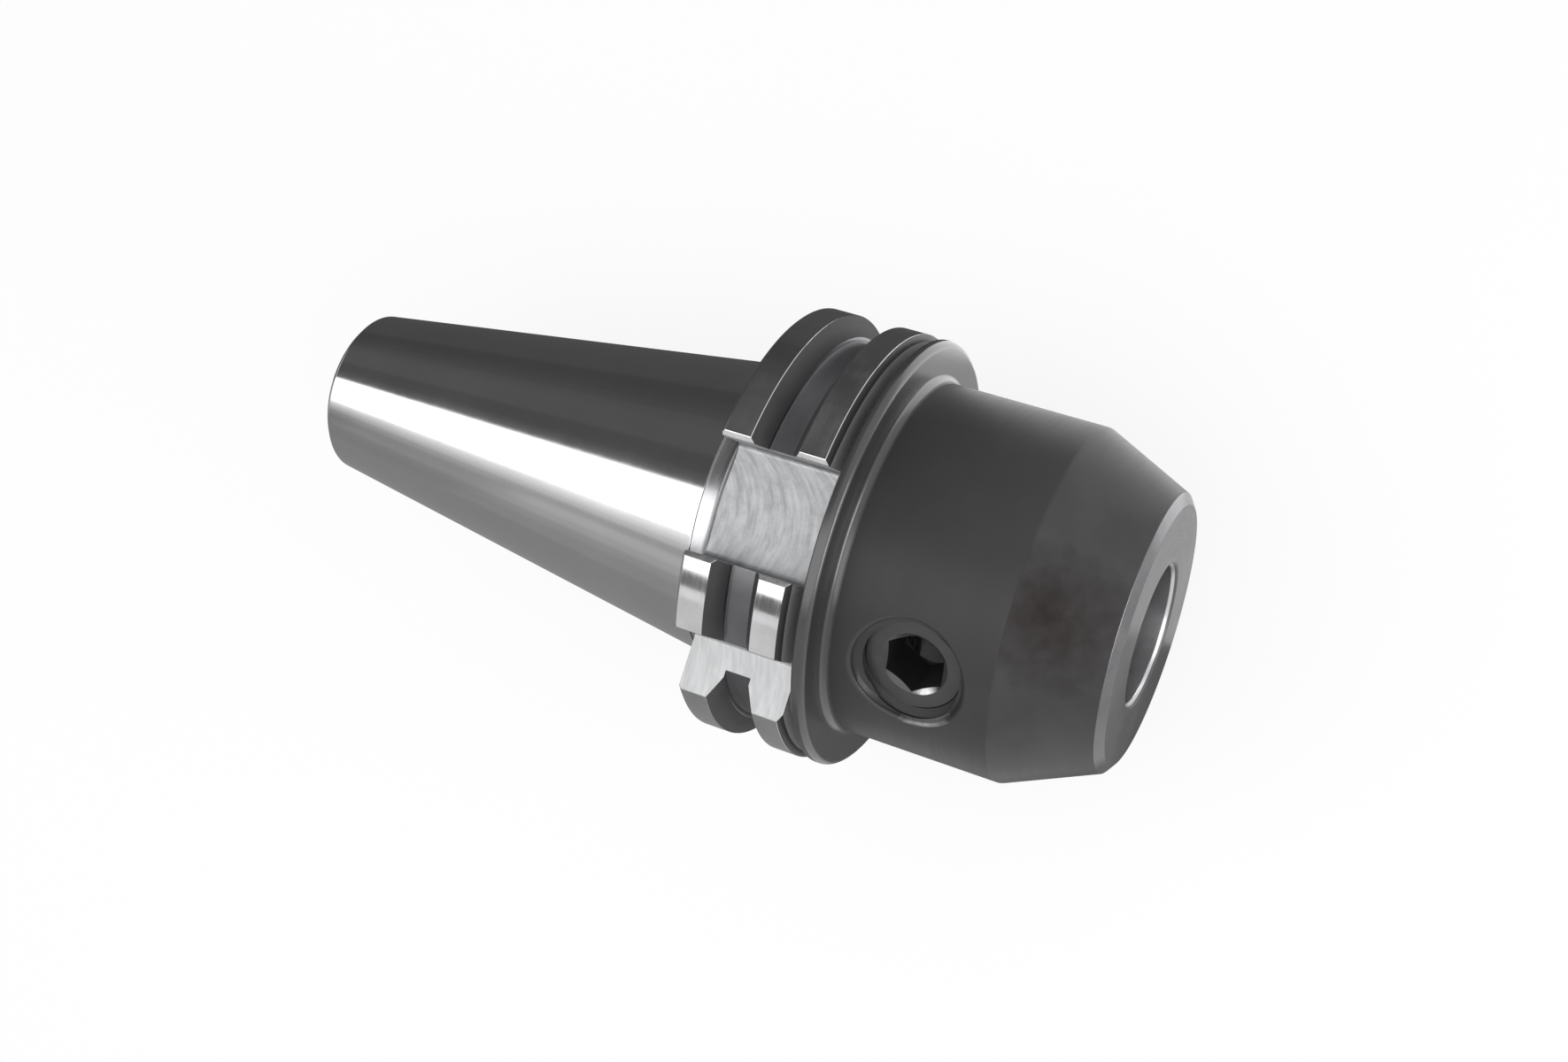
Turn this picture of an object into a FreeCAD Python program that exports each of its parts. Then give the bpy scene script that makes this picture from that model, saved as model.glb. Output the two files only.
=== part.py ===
"""Side-lock end mill holder with a 7:24 steep taper shank and one clamping screw.

Frame: X is the spindle axis and points to the nose, Z is the normal of the upper drive slot.
The origin is the centre of the gauge plane, where the taper has its gauge diameter.
"""
import FreeCAD, Part

import math
import os

from FreeCAD import Vector

# Spindle taper and pull stud end
gauge_dia = 44.45
taper_rise_per_length = 7.0 / 24.0
taper_length = 68.4
tail_chamfer = 0.9
neck_dia = 44.0
neck_fillet = 1.6
stud_recess_dia = 17.0
stud_recess_depth = 8.2
stud_tap_dia = 14.0
stud_hole_depth = 40.0
stud_mouth_chamfer = 0.8
coolant_dia = 8.0

# Gripper flange
flange_dia = 63.55
flange_start = 3.2
flange_end = 19.1
flange_rear_chamfer = 0.4
flange_front_chamfer = 1.0
flange_front_chamfer_length = 0.6
groove_centre = 11.1
groove_floor_width = 3.75
groove_flank_dia = 57.8
groove_floor_dia = 56.25
groove_flank_angle = 30.0

# Drive slots and corner notch
slot_width = 16.1
upper_slot_floor = 22.8
lower_slot_floor = 25.0
slot_corner_radius = 0.8
slot_edge_chamfer = 0.7
notch_floor = 17.0
notch_wall = 18.5
notch_corner_radius = 0.8

# Run-out groove and collar in front of the flange
runout_width = 1.8
runout_below_slot = 0.2
runout_corner_radius = 0.5
collar_dia = 63.4
collar_width = 1.9
collar_rear_chamfer = 0.25
collar_front_radius = 1.0
collar_root_radius = 1.1

# Body and nose
body_dia = 52.0
projection = 61.0
nose_cone_length = 13.8
nose_dia = 40.6
nose_bevel_length = 1.0
nose_bevel_width = 1.5
shoulder_radius = 1.5

# Tool bore
tool_dia = 20.0
tool_bore_depth = 52.0
tool_mouth_chamfer = 0.7
drill_point_angle = 118.0

# Clamping screw and its hole
screw_dia = 16.0
screw_running_gap = 0.05
screw_from_nose = 26.0
screw_turn = 36.0
screw_top_below_body = 3.2
screw_tip_above_bore = 0.2
screw_head_chamfer = 1.0
screw_tip_chamfer = 2.0
screw_sink_width = 0.8
socket_flats = 8.0
socket_depth = 7.0
socket_mouth_dia = 9.6
socket_mouth_angle = 120.0
socket_floor_angle = 120.0

# Worked out from the sizes above
gauge_radius = gauge_dia / 2
neck_radius = neck_dia / 2
flange_radius = flange_dia / 2
body_radius = body_dia / 2
nose_radius = nose_dia / 2
tool_radius = tool_dia / 2
collar_radius = collar_dia / 2
tail_x = -taper_length
tail_radius = gauge_radius - taper_length * taper_rise_per_length / 2
runout_radius = upper_slot_floor - runout_below_slot
runout_end = flange_end + runout_width
collar_end = runout_end + collar_width
cone_start = projection - nose_cone_length
screw_x = projection - screw_from_nose
screw_hole_radius = screw_dia / 2 + screw_running_gap
clear = 5.0
sink_overrun = 0.2

axis_x = Vector(1, 0, 0)
origin = Vector(0, 0, 0)


def tangent_corner(before, corner, after, radius):
    """Gives the start, middle and end of the arc that rounds one corner of an outline."""
    to_before = (before - corner).normalize()
    to_after = (after - corner).normalize()
    half_turn = to_before.getAngle(to_after) / 2
    reach = radius / math.tan(half_turn)
    bisector = (to_before + to_after).normalize()
    centre = corner + bisector * (radius / math.sin(half_turn))
    return corner + to_before * reach, centre - bisector * radius, corner + to_after * reach


def outline(corners):
    """Makes a closed wire through (point, radius) corners, with the given radii as tangent arcs."""
    stops = []
    for index, (point, radius) in enumerate(corners):
        if radius > 0:
            before = corners[index - 1][0]
            after = corners[(index + 1) % len(corners)][0]
            start, middle, end = tangent_corner(before, point, after, radius)
            stops.append((start, end, Part.Arc(start, middle, end).toShape()))
        else:
            stops.append((point, point, None))
    pieces = []
    for index, (_, end, arc) in enumerate(stops):
        if arc is not None:
            pieces.append(arc)
        next_start = stops[(index + 1) % len(stops)][0]
        if end.distanceToPoint(next_start) > 1e-7:
            pieces.append(Part.makeLine(end, next_start))
    return Part.Wire(pieces)


def turned(profile):
    """Turns (x, radius, corner radius) points about the spindle axis."""
    corners = [(Vector(x, 0, r), corner) for x, r, corner in profile]
    return Part.Face(outline(corners)).revolve(origin, axis_x, 360)


def prism(section, x_from, x_to):
    """Extrudes (y, z, corner radius) points along the spindle axis."""
    corners = [(Vector(x_from, y, z), corner) for y, z, corner in section]
    return Part.Face(outline(corners)).extrude(axis_x * (x_to - x_from))


def around_screw(shape):
    """Moves a shape made about +Z at the origin to the clamping screw's place on the body."""
    shape.rotate(origin, axis_x, screw_turn)
    shape.translate(Vector(screw_x, 0, 0))
    return shape


def outer_form():
    """The turned outside, from the pull stud end to the nose."""
    taper_at_chamfer = tail_radius + tail_chamfer * taper_rise_per_length / 2
    flank_length = (flange_radius - groove_flank_dia / 2) * math.tan(math.radians(groove_flank_angle))
    floor_rear = groove_centre - groove_floor_width / 2
    floor_front = groove_centre + groove_floor_width / 2
    return turned([
        (tail_x, 0, 0),
        (tail_x, tail_radius - tail_chamfer, 0),
        (tail_x + tail_chamfer, taper_at_chamfer, 0),
        (0, gauge_radius, 0),
        (0, neck_radius, 0),
        (flange_start, neck_radius, neck_fillet),
        (flange_start, flange_radius - flange_rear_chamfer, 0),
        (flange_start + flange_rear_chamfer, flange_radius, 0),
        (floor_rear - flank_length, flange_radius, 0),
        (floor_rear, groove_flank_dia / 2, 0),
        (floor_rear, groove_floor_dia / 2, 0),
        (floor_front, groove_floor_dia / 2, 0),
        (floor_front, groove_flank_dia / 2, 0),
        (floor_front + flank_length, flange_radius, 0),
        (flange_end - flange_front_chamfer_length, flange_radius, 0),
        (flange_end, flange_radius - flange_front_chamfer, 0),
        (flange_end, runout_radius, runout_corner_radius),
        (runout_end, runout_radius, runout_corner_radius),
        (runout_end, collar_radius - collar_rear_chamfer, 0),
        (runout_end + collar_rear_chamfer, collar_radius, 0),
        (collar_end, collar_radius, collar_front_radius),
        (collar_end, body_radius, collar_root_radius),
        (cone_start, body_radius, shoulder_radius),
        (projection - nose_bevel_length, nose_radius, 0),
        (projection, nose_radius - nose_bevel_width, 0),
        (projection, 0, 0),
    ])


def drive_slot(floor):
    """The cutter for one drive slot, open at the rim and behind, with its two broken edges."""
    half = slot_width / 2
    rim_height = math.sqrt(flange_radius ** 2 - (half + slot_edge_chamfer) ** 2)
    break_start = rim_height - slot_edge_chamfer
    top = flange_radius + clear
    spread = top - break_start
    return prism([
        (-half, floor, slot_corner_radius),
        (half, floor, slot_corner_radius),
        (half, break_start, 0),
        (half + spread, top, 0),
        (-half - spread, top, 0),
        (-half, break_start, 0),
    ], flange_start - neck_fillet - clear, flange_end + runout_width / 2)


def corner_notch():
    """The cutter for the notch that marks the cutting edge side, beside the upper slot."""
    outside = flange_radius + clear
    return prism([
        (-outside, notch_floor, 0),
        (-notch_wall, notch_floor, notch_corner_radius),
        (-notch_wall, outside, 0),
        (-outside, outside, 0),
    ], flange_start - neck_fillet - clear, flange_end + runout_width / 2)


def tool_bore():
    """The ground bore for the shank, with its broken mouth and drill point."""
    point_length = tool_radius / math.tan(math.radians(drill_point_angle / 2))
    floor = projection - tool_bore_depth
    return turned([
        (floor - point_length, 0, 0),
        (floor, tool_radius, 0),
        (projection - tool_mouth_chamfer, tool_radius, 0),
        (projection + clear, tool_radius + tool_mouth_chamfer + clear, 0),
        (projection + clear, 0, 0),
    ])


def stud_hole():
    """The pull stud's recess and tapping hole, in the small end of the taper."""
    recess = stud_recess_dia / 2
    tap = stud_tap_dia / 2
    point_length = tap / math.tan(math.radians(drill_point_angle / 2))
    return turned([
        (tail_x - clear, 0, 0),
        (tail_x - clear, recess + stud_mouth_chamfer + clear, 0),
        (tail_x + stud_mouth_chamfer, recess, 0),
        (tail_x + stud_recess_depth, recess, 0),
        (tail_x + stud_recess_depth, tap, 0),
        (tail_x + stud_hole_depth, tap, 0),
        (tail_x + stud_hole_depth + point_length, 0, 0),
    ])


def coolant_passage():
    """The straight passage between the pull stud's hole and the tool bore."""
    start = tail_x + stud_hole_depth
    end = projection - tool_bore_depth
    return Part.makeCylinder(coolant_dia / 2, end - start, Vector(start, 0, 0), axis_x)


def screw_hole():
    """The clamping screw's hole from the tool bore out, with a 90 degree sink in the body's crest."""
    hole = Part.makeCylinder(screw_hole_radius, body_radius + clear)
    rise = screw_sink_width + sink_overrun
    start = Vector(0, 0, body_radius - screw_sink_width)
    sink = Part.makeCone(screw_hole_radius, screw_hole_radius + rise, rise, start)
    return around_screw(hole.fuse(sink))


def holder_body():
    """The holder, one turned and milled piece."""
    lower_slot = drive_slot(lower_slot_floor)
    lower_slot.rotate(origin, axis_x, 180)
    cuts = [drive_slot(upper_slot_floor), lower_slot, corner_notch()]
    cuts += [tool_bore(), stud_hole(), coolant_passage(), screw_hole()]
    body = outer_form()
    for cut in cuts:
        body = body.cut(cut)
    return body.removeSplitter()


def hex_socket(top):
    """The cutter for the key socket, one flat towards the nose, with its drilled floor and broken mouth."""
    corner = socket_flats / 2 / math.cos(math.radians(30))
    floor = top - socket_depth
    points = []
    for step in range(6):
        angle = math.radians(60 * step + 30)
        points.append(Vector(corner * math.cos(angle), corner * math.sin(angle), floor))
    prism_wire = Part.makePolygon(points + points[:1])
    hexagon = Part.Face(prism_wire).extrude(Vector(0, 0, socket_depth + clear))
    point_length = socket_flats / 2 / math.tan(math.radians(socket_floor_angle / 2))
    point = Part.makeCone(0, socket_flats / 2, point_length, Vector(0, 0, floor - point_length))
    mouth_slope = math.tan(math.radians(socket_mouth_angle / 2))
    mouth_start = top - socket_mouth_dia / 2 / mouth_slope
    mouth_length = top + clear - mouth_start
    mouth = Part.makeCone(0, mouth_length * mouth_slope, mouth_length, Vector(0, 0, mouth_start))
    return hexagon.fuse([point, mouth])


def clamping_screw():
    """The side-lock screw as it stands before a shank is put in, clear of the tool bore."""
    radius = screw_dia / 2
    top = body_radius - screw_top_below_body
    tip = tool_radius + screw_tip_above_bore
    profile = [
        (0, tip),
        (radius - screw_tip_chamfer, tip),
        (radius, tip + screw_tip_chamfer),
        (radius, top - screw_head_chamfer),
        (radius - screw_head_chamfer, top),
        (0, top),
    ]
    corners = [(Vector(r, 0, z), 0) for r, z in profile]
    blank = Part.Face(outline(corners)).revolve(origin, Vector(0, 0, 1), 360)
    return around_screw(blank.cut(hex_socket(top)))


def main():
    """Writes each piece to its own file."""
    os.makedirs("parts", exist_ok=True)
    pieces = {"holder_body": holder_body(), "clamping_screw": clamping_screw()}
    for name, shape in pieces.items():
        solid = shape.Solids[0] if len(shape.Solids) == 1 else shape
        print(name, "valid", solid.isValid(), "solids", len(shape.Solids), "volume", round(solid.Volume, 1))
        solid.exportStep(os.path.join("parts", name + ".step"))
    gap, _, _ = pieces["holder_body"].distToShape(pieces["clamping_screw"])
    print("screw clearance", round(gap, 3))


main()
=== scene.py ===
"""Looks of a side-lock end mill holder with a 7:24 steep taper shank and one clamping screw.

The holder and its screw are rebuilt here as fine meshes of the same form as the solids, with broken
edges and cut threads, and each zone of the holder gets the finish that it has on the real one.
Sizes are in millimetres in the classes and become metres when a mesh is made.
"""

import logging
import math
from dataclasses import dataclass, field
from enum import Enum

import bmesh
import bpy
from mathutils import Matrix, Vector


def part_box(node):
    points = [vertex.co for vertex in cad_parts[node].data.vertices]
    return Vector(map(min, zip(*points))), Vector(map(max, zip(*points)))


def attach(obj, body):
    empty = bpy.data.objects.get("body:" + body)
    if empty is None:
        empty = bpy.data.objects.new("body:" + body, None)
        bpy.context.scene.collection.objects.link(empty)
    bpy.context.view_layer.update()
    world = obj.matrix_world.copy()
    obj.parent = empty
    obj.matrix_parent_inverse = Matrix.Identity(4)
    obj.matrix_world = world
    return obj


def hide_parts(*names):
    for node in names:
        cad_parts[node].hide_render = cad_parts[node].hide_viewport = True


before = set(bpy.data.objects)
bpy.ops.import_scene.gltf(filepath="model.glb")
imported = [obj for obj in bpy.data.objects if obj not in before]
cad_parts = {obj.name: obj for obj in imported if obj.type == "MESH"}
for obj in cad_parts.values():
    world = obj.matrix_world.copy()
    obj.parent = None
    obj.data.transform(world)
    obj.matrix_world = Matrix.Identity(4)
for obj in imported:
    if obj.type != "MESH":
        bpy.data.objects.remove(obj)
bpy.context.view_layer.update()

LOG = logging.getLogger("holder")
MM = 0.001

Point = tuple[float, float]
Profile = list[tuple[float, float]]


class Zone(Enum):
    """The finish zones of the holder, in the order of its material slots."""

    TAPER = 0
    LAND = 1
    GROOVE = 2
    OXIDE = 3
    NOSE = 4
    BORE = 5
    SLOT = 6
    NOTCH = 7
    THREAD = 8
    DRILLED = 9
    NECK = 10
    MOUTH = 11
    COLLAR = 12
    CONE = 13
    STEP = 14
    SLOT_EDGE = 15
    BEVEL = 16
    FLANK = 17
    RUNOUT = 18


class ScrewZone(Enum):
    """The finish zones of the clamping screw, in the order of its material slots."""

    OUTSIDE = 0
    SOCKET = 1
    SOCKET_MOUTH = 2


CUT_ZONES = (Zone.SLOT, Zone.NOTCH, Zone.SLOT_EDGE)
THREAD_ZONES = (Zone.THREAD,)


@dataclass
class Corner:
    """One corner of a turned outline: its place, the radius that rounds it and the zone that starts there."""

    x: float
    r: float
    zone: Zone
    radius: float = 0.0


def arc_points(before: Vector, corner: Vector, after: Vector, radius: float, step: float) -> list[Vector]:
    """Rounds one corner of an outline.

    Args:
        before: The corner before it.
        corner: The corner to round.
        after: The corner after it.
        radius: The arc's radius.
        step: The largest turn between two points, in radians.

    Returns:
        The points along the tangent arc, or the corner itself where the radius is nothing.
    """
    if radius <= 0:
        return [corner.copy()]
    to_before = (before - corner).normalized()
    to_after = (after - corner).normalized()
    half_turn = to_before.angle(to_after) / 2
    bisector = (to_before + to_after).normalized()
    centre = corner + bisector * (radius / math.sin(half_turn))
    reach = radius / math.tan(half_turn)
    first = corner + to_before * reach - centre
    last = corner + to_after * reach - centre
    swing = first.angle(last)
    side = 1.0 if first.x * last.y - first.y * last.x > 0 else -1.0
    count = max(2, math.ceil(swing / step))
    points = []
    for index in range(count + 1):
        turn = side * swing * index / count
        turned = Matrix.Rotation(turn, 2) @ first
        points.append(centre + turned)
    return points


def rounded_outline(corners: list[Corner], step: float) -> tuple[list[Vector], list[Zone]]:
    """Turns corners into outline points, with the zone of the stretch that follows each point.

    Args:
        corners: The closed outline's corners.
        step: The largest turn between two points of an arc, in radians.

    Returns:
        The points as (x, r) and a zone for each.
    """
    points: list[Vector] = []
    zones: list[Zone] = []
    for index, corner in enumerate(corners):
        before = corners[index - 1]
        after = corners[(index + 1) % len(corners)]
        place = Vector((corner.x, corner.r))
        arc = arc_points(Vector((before.x, before.r)), place, Vector((after.x, after.r)), corner.radius, step)
        points.extend(arc)
        zones.extend([corner.zone] * len(arc))
    return points, zones


def new_object(name: str, mesh: bpy.types.Mesh) -> bpy.types.Object:
    """Links a mesh to the scene under a name and returns the object."""
    made = bpy.data.objects.new(name, mesh)
    bpy.context.scene.collection.objects.link(made)
    return made


def mesh_from(name: str, points: list[Vector], faces: list[list[int]], zones: list[int]) -> bpy.types.Object:
    """Makes an object from points in millimetres.

    Args:
        name: The object's name.
        points: The vertices, in millimetres.
        faces: The vertex numbers of each face.
        zones: The material slot of each face.

    Returns:
        The object, in metres.
    """
    mesh = bpy.data.meshes.new(name)
    mesh.from_pydata([tuple(point * MM) for point in points], [], faces)
    for polygon, zone in zip(mesh.polygons, zones):
        polygon.material_index = zone
    tidy = bmesh.new()
    tidy.from_mesh(mesh)
    bmesh.ops.recalc_face_normals(tidy, faces=tidy.faces)
    tidy.to_mesh(mesh)
    tidy.free()
    return new_object(name, mesh)


def turned_ring(name: str, points: list[Vector], zones: list[Zone], segments: int) -> bpy.types.Object:
    """Turns a closed outline that never meets the axis into a ring about X.

    Args:
        name: The object's name.
        points: The outline as (x, r).
        zones: The zone of the stretch that follows each point.
        segments: How many steps there are in one turn.

    Returns:
        The ring.
    """
    count = len(points)
    places = []
    for step in range(segments):
        angle = 2 * math.pi * step / segments
        for point in points:
            places.append(Vector((point.x, point.y * math.cos(angle), point.y * math.sin(angle))))
    faces = []
    slots = []
    for step in range(segments):
        here = step * count
        there = (step + 1) % segments * count
        for index in range(count):
            after = (index + 1) % count
            faces.append([here + index, here + after, there + after, there + index])
            slots.append(zones[index].value)
    return mesh_from(name, places, faces, slots)


def prism(name: str, section: list[Vector], x_from: float, x_to: float, zone: Enum,
          edge_zone: Enum | None = None) -> bpy.types.Object:
    """Makes a bar along X with a section in Y and Z.

    Args:
        name: The object's name.
        section: The section's points as (y, z).
        x_from: Where the bar starts.
        x_to: Where it ends.
        zone: The finish of what it cuts.
        edge_zone: The finish of its slanted sides, where that differs.

    Returns:
        The bar.
    """
    count = len(section)
    zones = [zone.value] * (count + 2)
    places = [Vector((x, point.x, point.y)) for x in (x_from, x_to) for point in section]
    faces = [list(range(count)), list(range(count, 2 * count))]
    for index in range(count):
        after = (index + 1) % count
        faces.append([index, after, count + after, count + index])
        side = section[after] - section[index]
        if edge_zone is not None and abs(abs(side.x) - abs(side.y)) < 0.001 and side.length > 1.0:
            zones[index + 2] = edge_zone.value
    return mesh_from(name, places, faces, zones)


@dataclass
class ThreadForm:
    """A 60 degree thread about +Z, made as one long strip that follows the helix."""

    crest_radius: float
    root_radius: float
    pitch: float
    start: float
    end: float
    crest_share: float
    root_share: float
    phase: float = 0.0
    steps: int = 72

    def section(self) -> list[Point]:
        """Returns one pitch of the thread as (share of a pitch, radius)."""
        flank = (1 - self.crest_share - self.root_share) / 2
        crest_end = self.crest_share / 2
        root_start = crest_end + flank
        return [
            (-crest_end, self.crest_radius),
            (crest_end, self.crest_radius),
            (root_start, self.root_radius),
            (root_start + self.root_share, self.root_radius),
        ]

    def rod(self, name: str, zone: Enum) -> bpy.types.Object:
        """Makes the threaded rod.

        Args:
            name: The object's name.
            zone: The finish of its thread.

        Returns:
            A closed rod about +Z, from start to end.
        """
        section = self.section()
        width = len(section)
        first_turn = math.floor(self.start / self.pitch)
        turns = math.ceil(self.end / self.pitch) - first_turn
        rows = turns * self.steps
        places = []
        for row in range(rows + 1):
            angle = 2 * math.pi * row / self.steps + self.phase
            rise = (first_turn + row / self.steps) * self.pitch
            for share, radius in section:
                places.append(Vector((radius * math.cos(angle), radius * math.sin(angle),
                                      rise + share * self.pitch)))
        faces = []
        for row in range(rows):
            here = row * width
            there = here + width
            for index in range(width - 1):
                faces.append([here + index, there + index, there + index + 1, here + index + 1])
            over = here + self.steps * width
            if over + width < len(places) + 1 and row + self.steps < rows:
                faces.append([here + width - 1, there + width - 1, over + width, over])
        rod = bmesh.new()
        verts = [rod.verts.new(place * MM) for place in places]
        for face in faces:
            rod.faces.new([verts[index] for index in face])
        self.close(rod)
        mesh = bpy.data.meshes.new(name)
        bmesh.ops.recalc_face_normals(rod, faces=rod.faces)
        rod.to_mesh(mesh)
        rod.free()
        for polygon in mesh.polygons:
            polygon.material_index = zone.value
        return new_object(name, mesh)

    def close(self, rod: bmesh.types.BMesh) -> None:
        """Closes the rod's open rims with fans from the axis."""
        rims = [edge for edge in rod.edges if edge.is_boundary]
        middle = (self.start + self.end) / 2 * MM
        for low in (True, False):
            rim = [edge for edge in rims if (edge.verts[0].co.z < middle) == low]
            level = sum(edge.verts[0].co.z for edge in rim) / len(rim)
            hub = rod.verts.new((0, 0, level))
            for edge in rim:
                rod.faces.new((edge.verts[0], edge.verts[1], hub))


def combine(target: bpy.types.Object, cutters: list[bpy.types.Object], operation: str) -> bpy.types.Object:
    """Cuts or joins solids and takes the cutters away.

    Args:
        target: The solid that is changed.
        cutters: What it is combined with.
        operation: DIFFERENCE, UNION or INTERSECT.

    Returns:
        The target, with its new mesh.
    """
    for cutter in cutters:
        modifier = target.modifiers.new(cutter.name, "BOOLEAN")
        modifier.operation = operation
        modifier.object = cutter
        modifier.solver = "EXACT"
        modifier.material_mode = "INDEX"
    graph = bpy.context.evaluated_depsgraph_get()
    mesh = bpy.data.meshes.new_from_object(target.evaluated_get(graph))
    target.modifiers.clear()
    old = target.data
    target.data = mesh
    bpy.data.meshes.remove(old)
    for cutter in cutters:
        spare = cutter.data
        bpy.data.objects.remove(cutter)
        bpy.data.meshes.remove(spare)
    return target


@dataclass(frozen=True)
class EdgeBreak:
    """How the sharp edges of a cut solid are broken."""

    width: float = 0.12
    segments: int = 2
    sharp_angle: float = math.radians(32.0)
    merge: float = 0.05

    def apply(self, piece: bpy.types.Object, spared: tuple[Enum, ...]) -> None:
        """Breaks the sharp edges.

        Args:
            piece: The object whose mesh is changed.
            spared: Zones whose own inner edges stay sharp.
        """
        solid = bmesh.new()
        solid.from_mesh(piece.data)
        spared_slots = {zone.value for zone in spared}
        edges = self.sharp_edges(solid, spared_slots)
        verts = list({vert for edge in edges for vert in edge.verts})
        bmesh.ops.remove_doubles(solid, verts=verts, dist=self.merge * MM)
        bmesh.ops.dissolve_degenerate(solid, edges=solid.edges, dist=1e-8)
        edges = self.sharp_edges(solid, spared_slots)
        bmesh.ops.bevel(solid, geom=edges, offset=self.width * MM, offset_type="OFFSET",
                        segments=self.segments,
                        profile=0.5, affect="EDGES", clamp_overlap=False, material=-1, loop_slide=True)
        solid.to_mesh(piece.data)
        solid.free()

    def sharp_edges(self, solid: bmesh.types.BMesh, spared: set[int]) -> list[bmesh.types.BMEdge]:
        """Returns the edges that turn by more than the sharp angle and aren't spared."""
        found = []
        for edge in solid.edges:
            if len(edge.link_faces) != 2 or edge.calc_face_angle(0.0) < self.sharp_angle:
                continue
            if all(face.material_index in spared for face in edge.link_faces):
                continue
            found.append(edge)
        return found


def smooth_normals(piece: bpy.types.Object, turned: set[int], limit: float) -> None:
    """Shades a cut solid as the true surface, so that reflections run evenly over it.

    A turned face gets the normal of the true round surface at each of its corners. At each corner, the
    normals of the faces that meet smoothly there are averaged by area, so broken edges blend in.

    Args:
        piece: The object whose mesh gets its own normals.
        turned: The material slots of faces turned about X.
        limit: The largest angle, in radians, across which two faces are smooth.
    """
    mesh = piece.data
    solid = bmesh.new()
    solid.from_mesh(mesh)
    solid.faces.ensure_lookup_table()
    true_normals: dict[tuple[int, int], Vector] = {}
    areas = {}
    for face in solid.faces:
        areas[face.index] = face.calc_area()
        middle = face.calc_center_median()
        base = math.atan2(middle.z, middle.y)
        for vert in face.verts:
            normal = face.normal
            if face.material_index in turned and len(face.verts) <= MAX_TURNED_SIDES:
                swing = math.atan2(vert.co.z, vert.co.y) - base
                normal = Matrix.Rotation(swing, 3, "X") @ normal
            true_normals[face.index, vert.index] = normal
    cosine = math.cos(limit)
    loops = []
    for face in solid.faces:
        for loop in face.loops:
            own = true_normals[face.index, loop.vert.index]
            total = Vector((0, 0, 0))
            for other in loop.vert.link_faces:
                theirs = true_normals[other.index, loop.vert.index]
                if own.dot(theirs) > cosine:
                    total += theirs * areas[other.index]
            loops.append(total.normalized() if total.length > 0 else own)
    solid.free()
    for polygon in mesh.polygons:
        polygon.use_smooth = True
    mesh.normals_split_custom_set(loops)


MAX_TURNED_SIDES = 12
ARC_STEP = math.radians(9.0)


@dataclass
class ClampPlace:
    """Where the clamping screw sits on the body."""

    from_gauge: float = 35.0
    turn: float = math.radians(36.0)

    def matrix(self) -> Matrix:
        """Returns the move from a screw about +Z at the origin to its place, in metres."""
        return Matrix.Translation((self.from_gauge * MM, 0, 0)) @ Matrix.Rotation(self.turn, 4, "X")


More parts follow.
